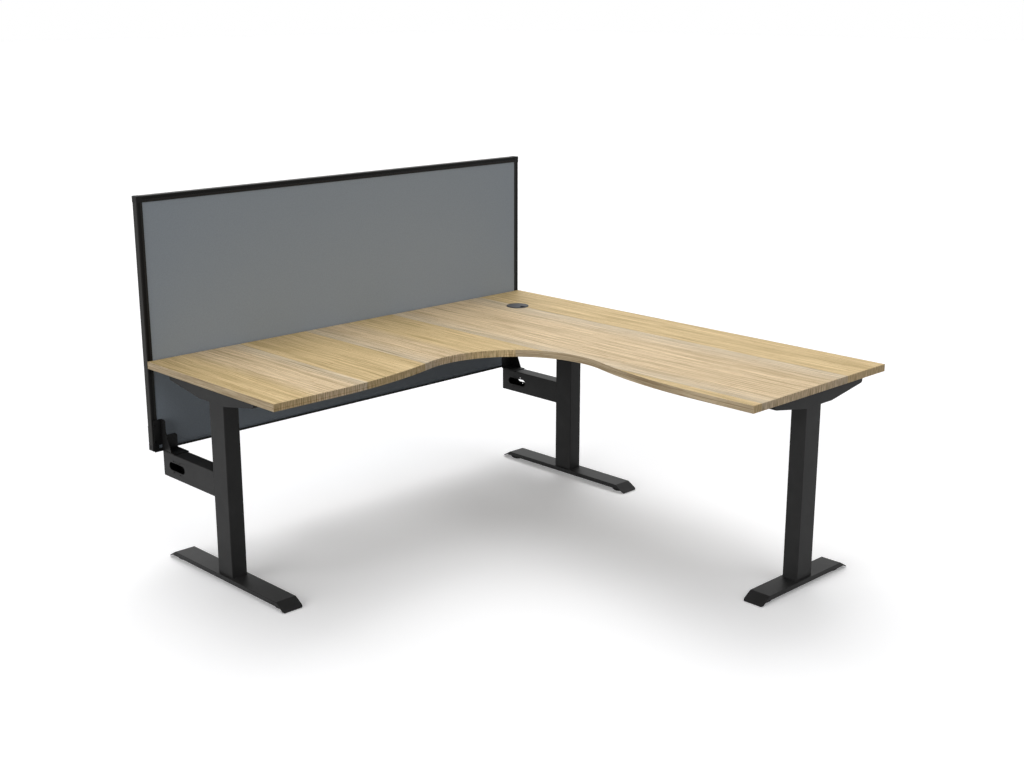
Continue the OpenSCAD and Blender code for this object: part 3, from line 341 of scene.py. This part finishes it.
def blackAnodised():
    material, tree, shader = newMaterial("anodisedAluminiumBlack", anodised["roughness"],
                                         specular=anodised["specular"])
    coords = addNode(tree, "ShaderNodeTexCoord").outputs["Object"]
    grain = addNode(tree, "ShaderNodeTexNoise", {"Scale": 1 / (anodised["dieMm"] * mm), "Detail": 3},
                    {"Vector": coords}).outputs["Fac"]
    start, end = anodised["toneFrom"]
    tone = addNode(tree, "ShaderNodeValToRGB", {"stops": [(start, hexColour(anodised["dark"])),
                                                          (end, hexColour(anodised["light"]))]},
                   {"Fac": grain})
    # the groove's floor lies a groove's depth inside the frame's front or back face
    low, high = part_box("screen_left_stile")
    y = addNode(tree, "ShaderNodeSeparateXYZ", None, {0: coords}).outputs["Y"]
    offCentre = addNode(tree, "ShaderNodeMath", {"operation": "SUBTRACT", 1: (low.y + high.y) / 2}, {0: y})
    out = addNode(tree, "ShaderNodeMath", {"operation": "ABSOLUTE"}, {0: offCentre.outputs[0]}).outputs[0]
    floorOut = (high.y - low.y) / 2 - anodised["grooveMm"] * mm
    atFloor = addNode(tree, "ShaderNodeMath",
                      {"operation": "COMPARE", 1: floorOut, 2: anodised["grooveWithinMm"] * mm}, {0: out})
    normal = addNode(tree, "ShaderNodeNewGeometry").outputs["Normal"]
    facing = addNode(tree, "ShaderNodeSeparateXYZ", None, {0: normal}).outputs["Y"]
    side = addNode(tree, "ShaderNodeMath", {"operation": "ABSOLUTE"}, {0: facing}).outputs[0]
    square = addNode(tree, "ShaderNodeMath", {"operation": "GREATER_THAN", 1: anodised["grooveFacing"]},
                     {0: side}).outputs[0]
    paintedShadeInGroove = addNode(tree, "ShaderNodeMath", {"operation": "MULTIPLY"}, {0: atFloor.outputs[0], 1: square})
    # painted shade: the tone is multiplied down on the groove's floor
    shaded = darken(tree, paintedShadeInGroove.outputs[0], tone.outputs["Color"], anodised["groovePaintedShade"])
    bump = addNode(tree, "ShaderNodeBump",
                   {"Strength": anodised["bump"], "Distance": anodised["reliefMm"] * mm}, {"Height": grain})
    tree.links.new(shaded, shader.inputs["Base Color"])
    tree.links.new(bump.outputs["Normal"], shader.inputs["Normal"])
    return material


finishes = {
    "oak_laminate": oakLaminate(),
    "oak_edge_band": oakEdgeBand(),
    "black_powder_coat": blackPowderCoat(),
    # smooth powder coat: the same black without the pebbled skin, set a little darker in tone and shinier
    "satin_black_coat": finePlain("smoothBlackPowderCoat", ("#171717", "#1e1e1e"), 4.0, 0.4, relief=0.01,
                                  specular=0.12),
    "black_anodised": blackAnodised(),
    # spark-eroded moulds leave the plastic matt
    "black_plastic": finePlain("mouldedNylonBlack", ("#141414", "#1c1c1c"), 0.9, 0.55, specular=0.13),
    "glide_plastic": finePlain("mouldedGlideNylon", ("#0e0e0e", "#171717"), 1.2, 0.5, specular=0.13),
    "grey_plastic": finePlain("mouldedAbsDarkGrey", ("#414347", "#4c4e52"), 0.9, 0.5, specular=0.2),
    # bright zinc plate is a pale metal with a cloudy grain
    "zinc_steel": finePlain("brightZincPlate", ("#8a8c90", "#a4a6aa"), 3.0, 0.35, metallic=1.0),
    # black zinc plate is sealed and nearly matt, the blackest of the finishes
    "black_zinc": finePlain("blackZincPlate", ("#050505", "#0b0b0b"), 1.5, 0.5, specular=0.1),
    # pressed fibre pin board, hidden behind the cloth
    "screen_board": finePlain("pressedFibreBoard", ("#b0a898", "#c4bcab"), 3.0, 0.9, relief=0.1),
    "grey_fabric": screenCloth(),
}
# painted highlight: the grommet's rim gets a paler grey than the other black mouldings, to stand for the
# light it catches
grommetRimPaintedHighlight = finePlain("mouldedAbsRimPaintedHighlight", ("#303236", "#3a3c40"), 0.9, 0.5, specular=0.2)
print("finishes made:", len(finishes) + 1)

# a small radius on each hard edge, in millimetres, by node or else by finish; a finish left out stays sharp
edgeRadius = {
    "edge_band": 0.5, "black_powder_coat": 0.5, "satin_black_coat": 0.3, "black_anodised": 0.3,
    "black_plastic": 0.4, "glide_plastic": 0.6, "grey_plastic": 0.4, "zinc_steel": 0.2, "black_zinc": 0.2,
}
softEdge = {"weldMm": 0.01, "segments": 2, "sharpestAngle": 35}
slotOf = {part["node"]: part["material_slot"] for part in frame["record"]["subparts"]}


def softenEdges(piece, radius):
    weld = piece.modifiers.new("weld", "WELD")
    weld.merge_threshold = softEdge["weldMm"] * mm
    bevel = piece.modifiers.new("softEdges", "BEVEL")
    bevel.width = radius * mm
    bevel.segments = softEdge["segments"]
    bevel.limit_method = "ANGLE"
    bevel.angle_limit = math.radians(softEdge["sharpestAngle"])
    even = piece.modifiers.new("evenNormals", "WEIGHTED_NORMAL")  # wide flat faces stay flat beside the folds
    even.keep_sharp = True


for nodeName, piece in frame["nodes"].items():
    slot = slotOf[nodeName]
    piece.data.materials.clear()
    # the grommet's sleeve takes the paler rim with its painted highlight
    piece.data.materials.append(grommetRimPaintedHighlight if nodeName == "grommet_sleeve" else finishes[slot])
    radius = edgeRadius.get(nodeName, edgeRadius.get(slot, 0))
    if radius:
        softenEdges(piece, radius)
print("nodes dressed")

# the cloth is pulled over the board on each face and tucked into the frame
screenSheet = {"frameMm": 22.3, "columns": 90, "rows": 45, "thicknessMm": 0.8, "fullnessMm": 0.12}


def stretchedCloth(name, nodeName, side):
    low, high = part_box(nodeName)
    face = low.y if side < 0 else high.y
    mesh = bmesh.new()
    bmesh.ops.create_grid(mesh, x_segments=screenSheet["columns"], y_segments=screenSheet["rows"], size=0.5)
    for v in mesh.verts:
        across, up = v.co.x + 0.5, v.co.y + 0.5
        ease = math.sin(math.pi * across) * math.sin(math.pi * up)
        inward = -side * screenSheet["fullnessMm"] * mm * (1 - ease)
        v.co = Vector((low.x + across * (high.x - low.x), face + inward, low.z + up * (high.z - low.z)))
    # lines where the frame's inner edge meets the cloth; the corners beyond two of them are cut away
    hidden = screenSheet["frameMm"] * mm
    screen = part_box("corner_joiners")
    left, right = screen[0].x + hidden, screen[1].x - hidden
    bottom, top = screen[0].z + hidden, screen[1].z - hidden
    for point, way in (((left, face, 0), (1, 0, 0)), ((right, face, 0), (1, 0, 0)),
                       ((0, face, bottom), (0, 0, 1)), ((0, face, top), (0, 0, 1))):
        bmesh.ops.bisect_plane(mesh, geom=mesh.verts[:] + mesh.edges[:] + mesh.faces[:],
                               plane_co=point, plane_no=way)
    corners = []
    for f in mesh.faces:
        middle = f.calc_center_median()
        outX = middle.x < left or middle.x > right
        outZ = middle.z < bottom or middle.z > top
        if outX and outZ:
            corners.append(f)
    bmesh.ops.delete(mesh, geom=corners, context="FACES")
    bmesh.ops.recalc_face_normals(mesh, faces=mesh.faces[:])
    if sum(f.normal.y for f in mesh.faces) * side < 0:
        bmesh.ops.reverse_faces(mesh, faces=mesh.faces[:])
    data = bpy.data.meshes.new(name)
    mesh.to_mesh(data)
    mesh.free()
    data.shade_smooth()
    piece = bpy.data.objects.new(name, data)
    bpy.context.scene.collection.objects.link(piece)
    thick = piece.modifiers.new("clothThickness", "SOLIDIFY")
    thick.thickness = screenSheet["thicknessMm"] * mm
    thick.offset = -1
    data.materials.append(finishes["grey_fabric"])
    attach(piece, "root")
    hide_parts(nodeName)


stretchedCloth("front_cloth", "front_fabric", -1)
stretchedCloth("back_cloth", "back_fabric", 1)
print("screen cloth made")

# the floor and the light: an even pale studio, softly lit from above, behind and the left
studio = {
    "floorSize": 60,
    "floorColour": "#fcfcfd",
    "floorRoughness": 0.9,
    "floorWhite": 0.2,  # what the eye sees of the floor beyond its own light, so that it reaches white
    "floorBounce": 0.2,  # what the floor gives back to the desk
    "world": 0.116,
    "backdrop": 1.0,
    # each lamp: the way it comes from, in degrees round from +x and up, its width and its strength
    "lamps": {
        "keyFromBehind": (60, 52, 45, 1.0),
        "keyFromRight": (35, 60, 30, 0.38),
        "overhead": (0, 90, 40, 0.57),
        "sideFromLeft": (180, 10, 60, 2.48),
        "frontFill": (270, 40, 50, 0.62),
    },
}
white = (1, 1, 1, 1)


def seenDirectly(tree):  # 1 for what the eye, a gloss or a glass sees, 0 for light on its way
    rays = addNode(tree, "ShaderNodeLightPath").outputs
    shown = rays["Is Camera Ray"]
    for name in ("Is Glossy Ray", "Is Transmission Ray"):
        shown = addNode(tree, "ShaderNodeMath", {"operation": "MAXIMUM"},
                        {0: shown, 1: rays[name]}).outputs[0]
    return shown


def studioFloor():
    mesh = bmesh.new()
    bmesh.ops.create_grid(mesh, x_segments=4, y_segments=4, size=studio["floorSize"])
    data = bpy.data.meshes.new("floor")
    mesh.to_mesh(data)
    mesh.free()
    floor = bpy.data.objects.new("floor", data)
    bpy.context.scene.collection.objects.link(floor)
    material, tree, shader = newMaterial("paleStudioFloor", studio["floorRoughness"], specular=0.0)
    shader.inputs["Base Color"].default_value = hexColour(studio["floorColour"])
    shader.inputs["Emission Color"].default_value = white
    shader.inputs["Emission Strength"].default_value = studio["floorWhite"]
    bounce = addNode(tree, "ShaderNodeBsdfDiffuse", {"Color": (studio["floorBounce"],) * 3 + (1,)})
    mix = addNode(tree, "ShaderNodeMixShader", None,
                  {0: seenDirectly(tree), 1: bounce.outputs[0], 2: shader.outputs[0]})
    tree.links.new(mix.outputs[0], tree.nodes["Material Output"].inputs["Surface"])
    data.materials.append(material)


def studioLight():
    world = bpy.data.worlds.new("studio")
    bpy.context.scene.world = world
    world.use_nodes = True
    tree = world.node_tree
    tree.nodes.clear()
    lit = addNode(tree, "ShaderNodeBackground", {"Color": white, "Strength": studio["world"]})
    seen = addNode(tree, "ShaderNodeBackground", {"Color": white, "Strength": studio["backdrop"]})
    mix = addNode(tree, "ShaderNodeMixShader", None,
                  {0: seenDirectly(tree), 1: lit.outputs[0], 2: seen.outputs[0]})
    addNode(tree, "ShaderNodeOutputWorld", None, {"Surface": mix.outputs[0]})
    for name, (around, height, width, strength) in studio["lamps"].items():
        lamp = bpy.data.lights.new(name, "SUN")
        lamp.energy = strength
        lamp.angle = math.radians(width)
        sun = bpy.data.objects.new(name, lamp)
        sun.rotation_euler = (math.radians(90 - height), 0, math.radians(around + 90))
        bpy.context.scene.collection.objects.link(sun)


studioFloor()
studioLight()
bpy.context.scene.view_settings.view_transform = "Standard"
print("studio set")
